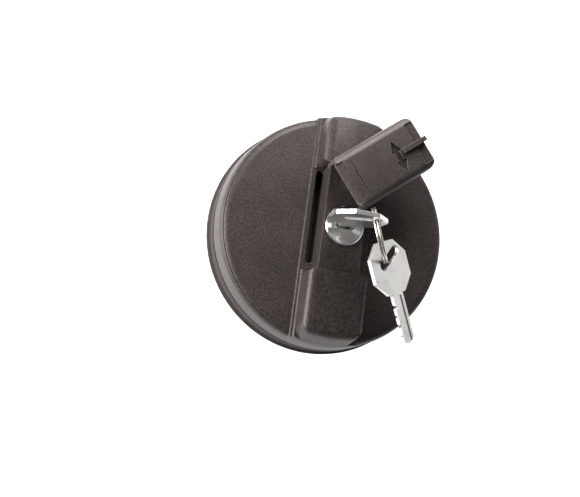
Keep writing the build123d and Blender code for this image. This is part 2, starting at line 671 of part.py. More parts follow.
def lid_arrow():
    """Shallow two-headed arrow across the lid."""
    half = ARROW_LEN / 2
    neck = half - ARROW_HEAD
    outline = Polyline(
        (0, half), (ARROW_HEAD / 2, neck), (ARROW_SHAFT / 2, neck), (ARROW_SHAFT / 2, -neck),
        (ARROW_HEAD / 2, -neck), (0, -half), (-ARROW_HEAD / 2, -neck), (-ARROW_SHAFT / 2, -neck),
        (-ARROW_SHAFT / 2, neck), (-ARROW_HEAD / 2, neck), close=True)
    cutter = extrude(make_face(outline), amount=3)
    return Pos(ARROW_X, -1, LID_H - ARROW_DEPTH - 0.2) * cutter


def lock_cover():
    """Swivelling dust lid: crowned roof, two side walls, finger fin and arrow."""
    body = lid_blank()
    roof = LID_H - LID_THICK
    inside = LID_HALF - LID_WALL
    body -= block(-LID_BACK - 1, LID_FRONT + 1, -inside, inside, -1, roof)
    rail = LID_HALF - LID_RAIL
    body -= block(LID_GROOVE, LID_GROOVE + 0.4, -rail, rail, LID_H - 0.5, LID_H + 1)
    body -= lid_arrow()
    body += block(FIN_BACK, LID_FRONT + FIN_PAST, -FIN_T / 2, FIN_T / 2, roof, LID_H + FIN_PROUD)
    body -= cylinder(PIN_R + SNUG, -1, LID_H - 1.0)
    return lid_place() * body


def lid_pin():
    """Steel pin fixed in the lid's roof, with a groove for its clip."""
    top = LID_Z + LID_H - 1.0 - SNUG
    body = cylinder(PIN_R, PIN_LOW, top, 0, PIVOT_Y)
    groove = tube(PIN_R + 1, PIN_R - 0.6, PIN_LOW + 1, PIN_LOW + 1 + LID_CLIP_T, 0, PIVOT_Y)
    return body - groove


def lid_clip():
    """Circlip at the pin's lower end."""
    low = PIN_LOW + 1 + SNUG
    body = tube(PIN_R + 1.6, PIN_R - 0.6 + SNUG, low, low + LID_CLIP_T - 2 * SNUG, 0, PIVOT_Y)
    return body - block(0, PIN_POCKET_R, PIVOT_Y - 1.0, PIVOT_Y + 1.0, low - 1, low + 2)


def lid_washer():
    """Washer between the clip and the spring."""
    low = PIN_LOW + 1 + LID_CLIP_T
    return tube(PIN_POCKET_R - 0.5, PIN_R + RUN, low, low + LID_WASHER_T, 0, PIVOT_Y)


def lid_spring():
    """Spring in the pocket under the block, drawn tight while the lid is up."""
    low = PIN_LOW + 1 + LID_CLIP_T + LID_WASHER_T
    return coil(PIN_R + 1.0, LID_SPRING_WIRE / 2, low, PIN_BORE_LOW, LID_SPRING_TURNS, 0, PIVOT_Y)


# ---------------------------------------------------------------- keys
def key_blank():
    """Flat key in its own plane: bow round the origin, blade along -Y, bits on one edge."""
    bow = make_face(Polyline(
        (-BOW_HALF, -BOW_HALF + BOW_CHAMFER), (-BOW_HALF, BOW_HALF - BOW_CHAMFER),
        (-BOW_HALF + BOW_CHAMFER, BOW_HALF), (BOW_HALF - BOW_CHAMFER, BOW_HALF),
        (BOW_HALF, BOW_HALF - BOW_CHAMFER), (BOW_HALF, -BOW_HALF + BOW_CHAMFER),
        (BOW_HALF - BOW_CHAMFER, -BOW_HALF), (-BOW_HALF + BOW_CHAMFER, -BOW_HALF), close=True))
    tip = -BOW_HALF - BLADE_LEN
    half = BLADE_W / 2
    blade = make_face(Polyline((-half, -BOW_HALF + 1), (half, -BOW_HALF + 1), (half, tip + 2.0),
                               (half - 2.4, tip), (-half + 1.6, tip), (-half, tip + 1.6), close=True))
    eye = Pos(0, 0) * SlotCenterToCenter(math.dist(EYE_A, EYE_B), 2 * EYE_R)
    angle = math.degrees(math.atan2(EYE_B[1] - EYE_A[1], EYE_B[0] - EYE_A[0]))
    middle = ((EYE_A[0] + EYE_B[0]) / 2, (EYE_A[1] + EYE_B[1]) / 2)
    flat = bow + blade - Pos(*middle) * Rot(0, 0, angle) * eye
    pitch = (BLADE_LEN - BLADE_PLAIN) / BITS
    for step in range(BITS):
        depth = BIT_DEPTH * (1.0 if step % 2 else 0.6)
        y = tip + 4.0 + step * pitch
        notch = Polyline((-half - 1, y - 1.6), (-half + depth, y), (-half - 1, y + 1.6), close=True)
        flat -= make_face(notch)
    body = extrude(flat, amount=KEY_T / 2, both=True)
    for side in (-1, 1):
        low, high = sorted((side * KEY_T / 2, side * (KEY_T / 2 - GROOVE_DEPTH)))
        body -= block(0.3, 0.3 + GROOVE_W, tip - 1, -BOW_HALF - 1, low, high)
    return body


def key_one():
    """Key standing in the lock, bow across the cap."""
    return Pos(0, 0, BOW_Z) * Rot(90, 0, 0) * key_blank()


def ring_frame():
    """Frame of the split ring: middle, direction across it and its normal."""
    eye = Vector(RING_EYE[0], 0, BOW_Z + RING_EYE[1])
    lean = Vector(*RING_LEAN).normalized()
    across = Vector(*RING_ACROSS).normalized()
    return Plane(origin=eye + lean * RING_R, x_dir=across, z_dir=lean.cross(across).normalized())


def key_ring():
    """Split ring of two flattened coils lying against each other."""
    coil_middle = RING_WIRE * 0.85
    pair = Pos(RING_R, coil_middle) * Circle(RING_WIRE) + Pos(RING_R, -coil_middle) * Circle(RING_WIRE)
    body = revolve(Plane.XZ * pair, Axis.Z)
    return ring_frame() * body


def key_two():
    """Second key, hanging from the ring beside the lock."""
    ring = ring_frame()
    eye = ring.origin - ring.x_dir * RING_R
    normal = Vector(*SPARE_FACE).normalized()
    up = Vector(*SPARE_BLADE) * -1
    up = (up - normal * up.dot(normal)).normalized()
    plane = Plane(origin=eye, x_dir=up.cross(normal), z_dir=normal)
    return plane * Pos(-SPARE_EYE[0], -SPARE_EYE[1], 0) * key_blank()


# ---------------------------------------------------------------- export
PIECES = {
    "outer_shell": outer_shell,
    "retaining_ring": retaining_ring,
    "thrust_washer": thrust_washer,
    "threaded_plug": threaded_plug,
    "drive_plate": drive_plate,
    "seal_ring": seal_ring,
    "seal_retainer": seal_retainer,
    "vent_boss": vent_boss,
    "vent_valve": vent_valve,
    "vent_spring": vent_spring,
    "vent_cap": vent_cap,
    "lock_housing": lock_housing,
    "lock_cylinder": lock_cylinder,
    "lock_wafers": lock_wafers,
    "lock_face": lock_face,
    "lock_cam": lock_cam,
    "cam_screw": cam_screw,
    "locking_bolt": locking_bolt,
    "bolt_guide": bolt_guide,
    "guide_screws": guide_screws,
    "lock_cover": lock_cover,
    "lid_pin": lid_pin,
    "lid_clip": lid_clip,
    "lid_washer": lid_washer,
    "lid_spring": lid_spring,
    "key_one": key_one,
    "key_ring": key_ring,
    "key_two": key_two,
}

os.makedirs("parts", exist_ok=True)
for name, make in PIECES.items():
    export_step(make(), f"parts/{name}.step")
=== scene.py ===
import math

import bmesh
import bpy
from mathutils import Matrix, Vector


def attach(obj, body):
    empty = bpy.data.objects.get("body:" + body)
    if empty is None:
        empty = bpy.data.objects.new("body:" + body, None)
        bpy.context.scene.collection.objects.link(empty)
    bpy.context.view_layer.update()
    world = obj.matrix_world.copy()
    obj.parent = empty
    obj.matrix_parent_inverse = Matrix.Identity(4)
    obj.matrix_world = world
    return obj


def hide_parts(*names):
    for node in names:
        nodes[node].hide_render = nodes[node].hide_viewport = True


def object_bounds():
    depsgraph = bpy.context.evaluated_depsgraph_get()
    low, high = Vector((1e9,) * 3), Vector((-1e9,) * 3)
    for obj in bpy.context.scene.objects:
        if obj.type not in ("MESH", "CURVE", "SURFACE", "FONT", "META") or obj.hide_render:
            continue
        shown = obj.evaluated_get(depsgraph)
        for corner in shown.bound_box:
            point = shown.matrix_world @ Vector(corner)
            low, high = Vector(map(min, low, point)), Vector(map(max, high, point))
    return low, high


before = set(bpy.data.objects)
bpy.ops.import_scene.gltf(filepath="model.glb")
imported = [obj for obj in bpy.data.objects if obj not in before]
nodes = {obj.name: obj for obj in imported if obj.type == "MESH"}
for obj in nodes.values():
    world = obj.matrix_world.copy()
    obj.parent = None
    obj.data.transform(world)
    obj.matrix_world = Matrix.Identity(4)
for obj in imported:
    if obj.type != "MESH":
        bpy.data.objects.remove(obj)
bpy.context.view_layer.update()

MM = 0.001
UP = Vector((0, 0, 1))

# thread on the plug
THREAD_ROOT = 33.25 * MM
THREAD_CREST = 34.3 * MM
THREAD_FOOT = -16.6 * MM
THREAD_PITCH = 3.2 * MM
THREAD_TURNS = 5.6
THREAD_STEPS = 72         # steps in a turn
THREAD_FADE = 20          # steps over which each end of the ridge runs out
THREAD_SUNK = 0.05 * MM   # the ridge's foot lies this far inside the plug
# section of the ridge: share of its height, and place along the plug in millimetres
THREAD_SECTION = ((0, -0.95), (0.75, -0.42), (1, -0.22), (1, 0.22), (0.75, 0.42), (0, 0.95))

# split ring, in the frame of its middle, the way across it and its normal
RING_MIDDLE = Vector((11.6199, -5.1429, 53.4348)) * MM
RING_ACROSS = Vector((-0.376173, 0.923424, 0.076035))
RING_NORMAL = Vector((0.855672, 0.314747, 0.410803))
RING_RADIUS = 12.1 * MM
RING_HALF_WIDE = 0.72 * MM
RING_HALF_THICK = 0.6 * MM
RING_CORNER = 0.25 * MM   # cut off the wire's corners
RING_STEPS = 180          # steps in a turn
RING_CUT = 3              # steps missing between the two cut ends
RING_STEP_OVER = 16       # steps on each side of the crossing
RING_RISE = 1.02 * RING_HALF_THICK
RING_CROSSING = math.radians(205)

# sloped ends of the handle bar: height, half width and reach from the cap's axis, in millimetres
BAR_END_FOOT = (26.9, 15.4, 55.6)
BAR_END_LEVELS = ((27.25, 14.9, 55.48), (27.9, 14.56, 55.3), (36.4, 14.24, 52.94), (38.0, 14.05, 52.5),
                  (39.2, 13.3, 51.8), (39.9, 12.3, 51.1), (40.15, 11.5, 50.7))
BAR_END_INSIDE = 42.0     # the ends' hidden inner side
BAR_END_CORNER = 5.5
BAR_END_ARC = 8           # straight parts in the outer side of an end

# lid: frame of its pin, and places in it in millimetres
LID_FRAME = Matrix.Translation(Vector((0, 20, 41.1)) * MM) @ Matrix.Rotation(math.radians(40.7), 4, "Z")
ARROW_FLOOR = (10.9, 11.15)          # from and to, up through the pocket of the engraved arrow
ARROW_MIDDLE = (21.6, -1.0)
ARROW_ROOM = (0.96, 0.97)            # the floor is this much smaller than the pocket
ARROW_OUTLINE = ((0, 7.8), (2.75, 2.25), (1.15, 2.25), (1.15, -2.25), (2.75, -2.25),
                 (0, -7.8), (-2.75, -2.25), (-1.15, -2.25), (-1.15, 2.25), (-2.75, 2.25))
GROOVE_MIDDLE = (-0.2, 0.0, 11.3)    # groove between the roof and the rounded near end
GROOVE_SIZE = (0.44, 20.6, 0.5)

# marks in the shell's colour, among them painted shade and painted highlights; each pair is where a mark is
# full and where it is gone
FOOT_TOP = 11.4                      # height of the skirt's matte foot, in millimetres
FOOT_SEAM_SHADE = (0.6 * MM, 1.1 * MM)     # painted shade of a groove along the foot's top
FOOT_RIM_HIGHLIGHT = (0.9 * MM, 1.5 * MM)      # painted highlight on the rim at the bottom
NICK_SPOTS = ((-31.4, 31.2, 26.0), (-40.2, 14.2, 26.0))
NICK_DARK = (0.4 * MM, 1.0 * MM)
# painted glint in the nicks
NICK_GLINT = (0.12 * MM, 0.3 * MM)

# noises of the finishes: scale over a metre, detail and roughness
CLOUD = (42.0, 4.0, 0.6)
PATCH = (160.0, 3.0, 0.55)
SPECK = (1500.0, 1.0, 0.5)
BROKEN_EDGE = (420.0, 3.0, 0.6)
STAINS = (150.0, 3.0, 0.6)
PITS = (1300.0, 3.0, 0.65)

# camera and lamps
CAMERA_AZIMUTH, CAMERA_ELEVATION, CAMERA_ROLL = (math.radians(v) for v in (-51.74, 72.779, 60.881))
CAMERA_TARGET = Vector((-15.11, -7.949, 0)) * MM
CAMERA_AWAY = 350 * MM
FOCAL_LENGTH = 688.1 / 580           # in widths of the picture
SENSOR = 36
LAMP_TARGET = Vector((0, 0, 20)) * MM
LAMPS = (
    # name, direction towards it, distance, size and power
    ("side lamp", (-0.90, -0.05, 0.30), 0.6, 0.3, 7.5),
    ("far lamp", (-0.12, 0.80, 0.55), 0.36, 0.2, 1.9),
    ("key lamp", (0.92, 0.27, 0.28), 0.9, 0.4, 0.45),
)
WORLD_DIFFUSE = 0.11
WORLD_GLOSSY = 0.18
FLOOR_TONE = 0.8
FLOOR_HALF = 3.0
FLOOR_GAP = 0.2 * MM


# ---------------------------------------------------------------- shader building
def math_node(tree, operation, first, second=None, clamp=False):
    """One Math node; each operand is a number or a socket."""
    node = tree.nodes.new("ShaderNodeMath")
    node.operation = operation
    node.use_clamp = clamp
    for index, operand in enumerate((first, second)):
        if operand is None:
            continue
        if isinstance(operand, (int, float)):
            node.inputs[index].default_value = operand
        else:
            tree.links.new(operand, node.inputs[index])
    return node.outputs[0]


def combined(tree, operation, first, *others):
    """The same Math operation over several operands in turn."""
    for other in others:
        first = math_node(tree, operation, first, other)
    return first


def grey(tree, value):
    """Grey colour of that value."""
    node = tree.nodes.new("ShaderNodeCombineColor")
    for channel in node.inputs:
        tree.links.new(value, channel)
    return node.outputs[0]


def blend_colours(tree, share, first, second, mode="MIX"):
    """Colour mix of two sockets or colours."""
    node = tree.nodes.new("ShaderNodeMix")
    node.data_type = "RGBA"
    node.blend_type = mode
    for socket, value in ((node.inputs[0], share), (node.inputs[6], first), (node.inputs[7], second)):
        if isinstance(value, bpy.types.NodeSocket):
            tree.links.new(value, socket)
        else:
            socket.default_value = value
    return node.outputs[2]


def spread(tree, value, low, high, new_low=0.0, new_high=1.0):
    """Value between low and high, stretched to a new range and clamped."""
    node = tree.nodes.new("ShaderNodeMapRange")
    tree.links.new(value, node.inputs[0])
    for index, number in enumerate((low, high, new_low, new_high)):
        node.inputs[index + 1].default_value = number
    return node.outputs[0]


def noise(tree, place, scale, detail=2.0, roughness=0.5, stretch=None):
    """Noise on the object's own coordinates, optionally stretched along an axis."""
    if stretch is not None:
        mapping = tree.nodes.new("ShaderNodeMapping")
        mapping.inputs["Scale"].default_value = stretch
        tree.links.new(place, mapping.inputs[0])
        place = mapping.outputs[0]
    node = tree.nodes.new("ShaderNodeTexNoise")
    tree.links.new(place, node.inputs["Vector"])
    if isinstance(scale, bpy.types.NodeSocket):
        tree.links.new(scale, node.inputs["Scale"])
    else:
        node.inputs["Scale"].default_value = scale
    node.inputs["Detail"].default_value = detail
    node.inputs["Roughness"].default_value = roughness
    return node.outputs["Fac"]


def new_group(name, inputs, outputs):
    """Empty shader group with named sockets; returns the tree, its input node and output node."""
    tree = bpy.data.node_groups.new(name, "ShaderNodeTree")
    for label, kind, default in inputs:
        socket = tree.interface.new_socket(label, in_out="INPUT", socket_type=kind)
        socket.default_value = default
    for label, kind in outputs:
        tree.interface.new_socket(label, in_out="OUTPUT", socket_type=kind)
    return tree, tree.nodes.new("NodeGroupInput"), tree.nodes.new("NodeGroupOutput")


def edge_mask(tree, radius, reach=0.25):
    """1 on convex and hollow edges, 0 on open faces."""
    rounded = tree.nodes.new("ShaderNodeBevel")
    rounded.samples = 4
    tree.links.new(radius, rounded.inputs["Radius"])
    plain = tree.nodes.new("ShaderNodeNewGeometry")
    product = tree.nodes.new("ShaderNodeVectorMath")
    product.operation = "DOT_PRODUCT"
    tree.links.new(rounded.outputs[0], product.inputs[0])
    tree.links.new(plain.outputs["Normal"], product.inputs[1])
    return spread(tree, math_node(tree, "SUBTRACT", 1.0, product.outputs["Value"]), 0.01, reach)


def bumped(tree, height, depth, radius):
    """Normal with softly rounded edges and a bump of that depth."""
    rounded = tree.nodes.new("ShaderNodeBevel")
    rounded.samples = 6
    tree.links.new(radius, rounded.inputs["Radius"])
    node = tree.nodes.new("ShaderNodeBump")
    node.inputs["Strength"].default_value = 1.0
    tree.links.new(depth, node.inputs["Distance"])
    tree.links.new(height, node.inputs["Height"])
    tree.links.new(rounded.outputs[0], node.inputs["Normal"])
    return node.outputs[0]


def painted_corner_shade(tree, reach, dark):
    """Painted shade: 1 on open faces, down to the dark value in narrow corners and grooves."""
    node = tree.nodes.new("ShaderNodeAmbientOcclusion")
    node.samples = 6
    node.inputs["Distance"].default_value = reach
    return spread(tree, node.outputs["AO"], 0.25, 0.85, dark, 1.0)


def nicks(tree, place, full, gone):
    """1 inside the small nicks, 0 elsewhere."""
    share = 0.0
    for spot in NICK_SPOTS:
        away = tree.nodes.new("ShaderNodeVectorMath")
        away.operation = "DISTANCE"
        away.inputs[1].default_value = Vector(spot) * MM
        tree.links.new(place, away.inputs[0])
        mark = spread(tree, away.outputs["Value"], full, gone, 1.0, 0.0)
        share = math_node(tree, "MAXIMUM", mark, share)
    return share


def foot_marks(tree, place, top):
    """Masks of the matte foot, of the painted groove shade along its top and of the painted highlight on its
    rim.
    """
    apart = tree.nodes.new("ShaderNodeSeparateXYZ")
    tree.links.new(place, apart.inputs[0])
    below = math_node(tree, "SUBTRACT", top, apart.outputs["Z"])
    foot = spread(tree, below, 0.0, 0.4 * MM)
    line = spread(tree, math_node(tree, "ABSOLUTE", below), *FOOT_SEAM_SHADE, 1.0, 0.0)
    rim = math_node(tree, "MULTIPLY", spread(tree, apart.outputs["Z"], *FOOT_RIM_HIGHLIGHT, 1.4, 0.0), foot)
    return foot, line, rim


def moulded_group():
    """Grain, small marks, rubbed edges that double as painted edge highlights, painted glints and rim
    highlight, and painted shade in corners and grooves, for moulded plastic and rubber.
    """
    tree, given, result = new_group("moulded surface", [
        ("Colour", "NodeSocketColor", (0.05, 0.05, 0.05, 1)),
        ("Worn and Lit Colour", "NodeSocketColor", (0.2, 0.2, 0.2, 1)),
        ("Grain Scale", "NodeSocketFloat", 1400.0),
        ("Grain Depth", "NodeSocketFloat", 0.00005),
        ("Grain Tone", "NodeSocketFloat", 0.3),
        ("Edge Radius", "NodeSocketFloat", 0.0003),
        ("Wear and Highlight", "NodeSocketFloat", 0.5),
        ("Matte Below", "NodeSocketFloat", -1.0),
        ("Roughness", "NodeSocketFloat", 0.5),
    ], [("Colour", "NodeSocketColor"), ("Roughness", "NodeSocketFloat"), ("Normal", "NodeSocketVector")])
    place = tree.nodes.new("ShaderNodeTexCoord").outputs["Object"]
    foot, line, rim = foot_marks(tree, place, given.outputs["Matte Below"])
    grain = noise(tree, place, given.outputs["Grain Scale"], 2.0, 0.55)
    cloud = noise(tree, place, *CLOUD)
    patch = noise(tree, place, *PATCH)
    speck = spread(tree, noise(tree, place, *SPECK), 0.77, 0.80)
    open_face = painted_corner_shade(tree, 1.6 * MM, 0.35)

    swing = math_node(tree, "MULTIPLY", spread(tree, grain, 0.36, 0.64, -1.0, 1.0), given.outputs["Grain Tone"])
    tone = combined(
        tree, "MULTIPLY", math_node(tree, "ADD", swing, 1.0),
        spread(tree, cloud, 0.32, 0.68, 0.88, 1.12),
        spread(tree, patch, 0.34, 0.66, 0.94, 1.06),
        # open_face darkens the colour: painted shade in corners and grooves
        open_face,
        spread(tree, foot, 0.0, 1.0, 1.0, 0.85),
        # painted shade of the groove along the foot's top
        spread(tree, line, 0.0, 1.0, 1.0, 0.05),
        spread(tree, nicks(tree, place, *NICK_DARK), 0.0, 1.0, 1.0, 0.05))
    body = blend_colours(tree, 1.0, given.outputs["Colour"], grey(tree, tone), "MULTIPLY")

    # lighter edges: rubbed edges and painted edge highlights together
    edge = edge_mask(tree, math_node(tree, "MULTIPLY", given.outputs["Edge Radius"], 2.0))
    edge = math_node(tree, "MULTIPLY", edge, spread(tree, open_face, 0.85, 1.0))
    broken = spread(tree, noise(tree, place, *BROKEN_EDGE), 0.35, 0.62, 0.25, 1.0)
    worn_and_lit = combined(
        tree, "ADD", math_node(tree, "MULTIPLY", edge, broken),
        math_node(tree, "MULTIPLY", speck, 0.3),
        # painted glint in the nicks
        math_node(tree, "MULTIPLY", nicks(tree, place, *NICK_GLINT), 0.8),
        # painted highlight on the foot's rim
        rim)
    worn_and_lit = math_node(tree, "MULTIPLY", worn_and_lit, given.outputs["Wear and Highlight"], True)
    tree.links.new(blend_colours(tree, worn_and_lit, body, given.outputs["Worn and Lit Colour"]), result.inputs["Colour"])

    rough = combined(
        tree, "ADD",
        math_node(tree, "MULTIPLY", given.outputs["Roughness"], spread(tree, cloud, 0.3, 0.7, 0.92, 1.08)),
        spread(tree, open_face, 0.35, 1.0, 0.35, 0.0),
        math_node(tree, "MULTIPLY", foot, 0.3))
    rough = math_node(tree, "ADD", rough, math_node(tree, "MULTIPLY", line, 0.6), True)
    tree.links.new(rough, result.inputs["Roughness"])
    tree.links.new(bumped(tree, grain, given.outputs["Grain Depth"], given.outputs["Edge Radius"]),
                   result.inputs["Normal"])
    return tree


def metal_group():
    """Tint changes, fine scratches, pits, painted shade in corners and soft edges of plated and bare metal."""
    tree, given, result = new_group("metal surface", [
        ("Colour", "NodeSocketColor", (0.6, 0.6, 0.6, 1)),
        ("Stain Colour", "NodeSocketColor", (0.4, 0.38, 0.35, 1)),
        ("Brush Scale", "NodeSocketFloat", 1500.0),
        ("Brush Depth", "NodeSocketFloat", 0.00001),
        ("Edge Radius", "NodeSocketFloat", 0.0002),
        ("Stain", "NodeSocketFloat", 0.3),
        ("Roughness", "NodeSocketFloat", 0.3),
    ], [("Colour", "NodeSocketColor"), ("Roughness", "NodeSocketFloat"), ("Normal", "NodeSocketVector")])
    place = tree.nodes.new("ShaderNodeTexCoord").outputs["Object"]
    brush = noise(tree, place, given.outputs["Brush Scale"], 2.0, 0.6, (1.0, 0.2, 0.2))
    pits = noise(tree, place, *PITS)
    stain = spread(tree, noise(tree, place, *STAINS), 0.45, 0.75)
    stain = math_node(tree, "MULTIPLY", stain, spread(tree, pits, 0.35, 0.65))
    stain = math_node(tree, "MULTIPLY", stain, given.outputs["Stain"], True)
    tint = blend_colours(tree, stain, given.outputs["Colour"], given.outputs["Stain Colour"])
    # painted shade in corners and slots
    shade = grey(tree, painted_corner_shade(tree, 2.5 * MM, 0.12))
    tree.links.new(blend_colours(tree, 1.0, tint, shade, "MULTIPLY"), result.inputs["Colour"])
    rough = math_node(tree, "MULTIPLY", given.outputs["Roughness"], spread(tree, pits, 0.3, 0.7, 0.8, 1.25))
    rough = math_node(tree, "ADD", rough, math_node(tree, "MULTIPLY", stain, 0.25), True)
    tree.links.new(rough, result.inputs["Roughness"])
    height = math_node(tree, "ADD", brush, pits)
    tree.links.new(bumped(tree, height, given.outputs["Brush Depth"], given.outputs["Edge Radius"]),
                   result.inputs["Normal"])
    return tree


MOULDED = moulded_group()
METAL = metal_group()


def material(name, surface, values, metallic=0.0, specular=0.5):
    """Material whose colour, roughness and normal come from one of the shared groups."""
    made = bpy.data.materials.new(name)
    made.use_nodes = True
    tree = made.node_tree
    shader = tree.nodes["Principled BSDF"]
    shader.inputs["Metallic"].default_value = metallic
    shader.inputs["Specular IOR Level"].default_value = specular
    finish = tree.nodes.new("ShaderNodeGroup")
    finish.node_tree = surface
    for label, value in values.items():
        finish.inputs[label].default_value = value
    tree.links.new(finish.outputs["Colour"], shader.inputs["Base Color"])
    tree.links.new(finish.outputs["Roughness"], shader.inputs["Roughness"])
    tree.links.new(finish.outputs["Normal"], shader.inputs["Normal"])
    return made


def plastic(name, colour, worn_and_lit, roughness, grain=1100.0, depth=0.03, tone=0.15, edge=0.3, wear_and_highlight=0.5,
            specular=0.4, matte_below=-1000.0):
    """Moulded plastic; grain depth, edge radius and the matte foot's height in millimetres."""
    made = material(name, MOULDED, {
        "Colour": (*colour, 1), "Worn and Lit Colour": (*worn_and_lit, 1), "Grain Scale": grain, "Grain Tone": tone,
        "Grain Depth": depth * MM, "Edge Radius": edge * MM, "Wear and Highlight": wear_and_highlight, "Roughness": roughness,
        "Matte Below": matte_below * MM,
    }, 0.0, specular)
    made.node_tree.nodes["Principled BSDF"].inputs["Specular Tint"].default_value = (1.0, 0.92, 0.88, 1)
    return made


def metal(name, colour, stained, roughness, brush=1500.0, depth=0.01, edge=0.15, stain=0.3):
    """Metal; brush depth and edge radius in millimetres."""
    return material(name, METAL, {
        "Colour": (*colour, 1), "Stain Colour": (*stained, 1), "Brush Scale": brush,
        "Brush Depth": depth * MM, "Edge Radius": edge * MM, "Stain": stain, "Roughness": roughness,
    }, 1.0)


SHELL = plastic("charcoal grained plastic", (0.031, 0.0245, 0.022), (0.19, 0.165, 0.15), 0.47,
                grain=1000.0, depth=0.09, tone=0.45, edge=0.35, wear_and_highlight=0.5, matte_below=FOOT_TOP)
LID = plastic("charcoal lid plastic", (0.043, 0.035, 0.0315), (0.26, 0.225, 0.205), 0.45,
              grain=1300.0, depth=0.05, tone=0.3, edge=0.4, wear_and_highlight=0.5)
PLUG = plastic("black plug plastic", (0.016, 0.015, 0.015), (0.11, 0.10, 0.095), 0.42,
               depth=0.02, edge=0.25)
GASKET = plastic("gasket rubber", (0.010, 0.010, 0.010), (0.05, 0.05, 0.048), 0.72,
                 grain=2200.0, depth=0.02, edge=0.25, wear_and_highlight=0.35, specular=0.3)
# dark sheets in the lid's arrow and groove: painted shade
SHADE_PLASTIC = plastic("dark plastic painted as engraving shade", (0.012, 0.0105, 0.010), (0.06, 0.055, 0.05), 0.7,
                grain=1300.0, depth=0.05, tone=0.3, edge=0.1)
PALE = plastic("pale grey plastic", (0.30, 0.29, 0.265), (0.45, 0.44, 0.41), 0.45,
               grain=1300.0, depth=0.02, edge=0.2, wear_and_highlight=0.4)
NYLON = plastic("natural nylon", (0.55, 0.52, 0.44), (0.66, 0.64, 0.57), 0.4,
                grain=1300.0, depth=0.015, edge=0.15, wear_and_highlight=0.4)
CHROME = metal("chrome plating", (0.80, 0.81, 0.82), (0.55, 0.55, 0.54), 0.16, depth=0.004, stain=0.2)
NICKEL = metal("nickel plating", (0.80, 0.79, 0.765), (0.50, 0.48, 0.45), 0.33, depth=0.02, edge=0.25,
               stain=0.5)
RING_STEEL = metal("nickel-plated wire", (0.76, 0.72, 0.64), (0.42, 0.38, 0.32), 0.24, depth=0.006,
                   edge=0.12, stain=0.35)
STEEL = metal("zinc-plated steel", (0.56, 0.56, 0.55), (0.34, 0.33, 0.31), 0.36, depth=0.01, stain=0.5)
BRASS = metal("turned brass", (0.50, 0.38, 0.19), (0.26, 0.19, 0.10), 0.42, depth=0.01, stain=0.6)
ZINC = metal("die-cast zinc", (0.50, 0.50, 0.51), (0.33, 0.33, 0.33), 0.45, depth=0.02, stain=0.4)

FINISHES = {
    "outer_shell": SHELL, "lock_cover": LID, "threaded_plug": PLUG, "vent_boss": PLUG,
    "vent_cap": PLUG, "drive_plate": PLUG, "seal_ring": GASKET, "seal_retainer": PALE,
    "thrust_washer": NYLON, "vent_valve": NYLON, "lock_face": CHROME, "key_one": NICKEL,
    "key_two": NICKEL, "key_ring": RING_STEEL, "retaining_ring": STEEL, "vent_spring": STEEL,
    "cam_screw": STEEL, "locking_bolt": STEEL, "bolt_guide": STEEL, "guide_screws": STEEL,
    "lid_pin": STEEL, "lid_clip": STEEL, "lid_washer": STEEL, "lid_spring": STEEL,
    "lock_cylinder": BRASS, "lock_wafers": BRASS, "lock_housing": ZINC, "lock_cam": ZINC,
}


def finish_nodes():
    """Every CAD node gets its finish and smooth curved faces."""
    for name, finish in FINISHES.items():
        piece = nodes[name]
        piece.data.materials.clear()
        piece.data.materials.append(finish)
        smooth_curves(piece)


def smooth_curves(piece, angle=28):
    """Curved faces shade smoothly and corners sharper than the angle stay crisp."""
    piece.data.shade_smooth()
    weld = piece.modifiers.new("weld", "WELD")
    weld.merge_threshold = 0.002 * MM
    split = piece.modifiers.new("crisp corners", "EDGE_SPLIT")
    split.split_angle = math.radians(angle)


# ---------------------------------------------------------------- added pieces
def made_object(name, shape, finish):
    """Object made from a bmesh, which is freed."""
    mesh = bpy.data.meshes.new(name)
    shape.to_mesh(mesh)
    shape.free()
    mesh.materials.append(finish)
    made = bpy.data.objects.new(name, mesh)
    bpy.context.scene.collection.objects.link(made)
    return made


def mesh_piece(name, shape, finish, body):
    """Piece made from a bmesh, riding on a body."""
    bmesh.ops.recalc_face_normals(shape, faces=shape.faces)
    piece = made_object(name, shape, finish)
    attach(piece, body)
    return piece


def grown(shape, face):
    """Extrudes a face in place; returns the new face and its corners."""
    made = bmesh.ops.extrude_face_region(shape, geom=[face])["geom"]
    face = next(part for part in made if isinstance(part, bmesh.types.BMFace))
    return face, [part for part in made if isinstance(part, bmesh.types.BMVert)]


def thread_ridge():
    """Rounded ridge that winds round the plug and runs out at both ends."""
    shape = bmesh.new()
    tall = THREAD_CREST - THREAD_ROOT
    ring = [shape.verts.new((THREAD_ROOT + out * tall, 0, THREAD_FOOT + along * MM))
            for out, along in THREAD_SECTION]
    total = int(THREAD_TURNS * THREAD_STEPS)
    bmesh.ops.spin(shape, geom=[shape.faces.new(ring)], cent=(0, 0, 0), axis=UP, use_merge=False,
                   dvec=(0, 0, THREAD_PITCH / THREAD_STEPS), use_duplicate=False,
                   angle=math.tau * THREAD_TURNS, steps=total)
    size = len(ring)
    shape.verts.ensure_lookup_table()
    for step in range(total + 1):
        share = min(1.0, min(step, total - step) / THREAD_FADE)
        for vertex in shape.verts[step * size:(step + 1) * size]:
            out = vertex.co.xy.length
            vertex.co.xy *= (THREAD_ROOT - THREAD_SUNK + (out - THREAD_ROOT) * share) / out
    piece = mesh_piece("thread_ridge", shape, PLUG, "plug")
    smooth_curves(piece, 50)


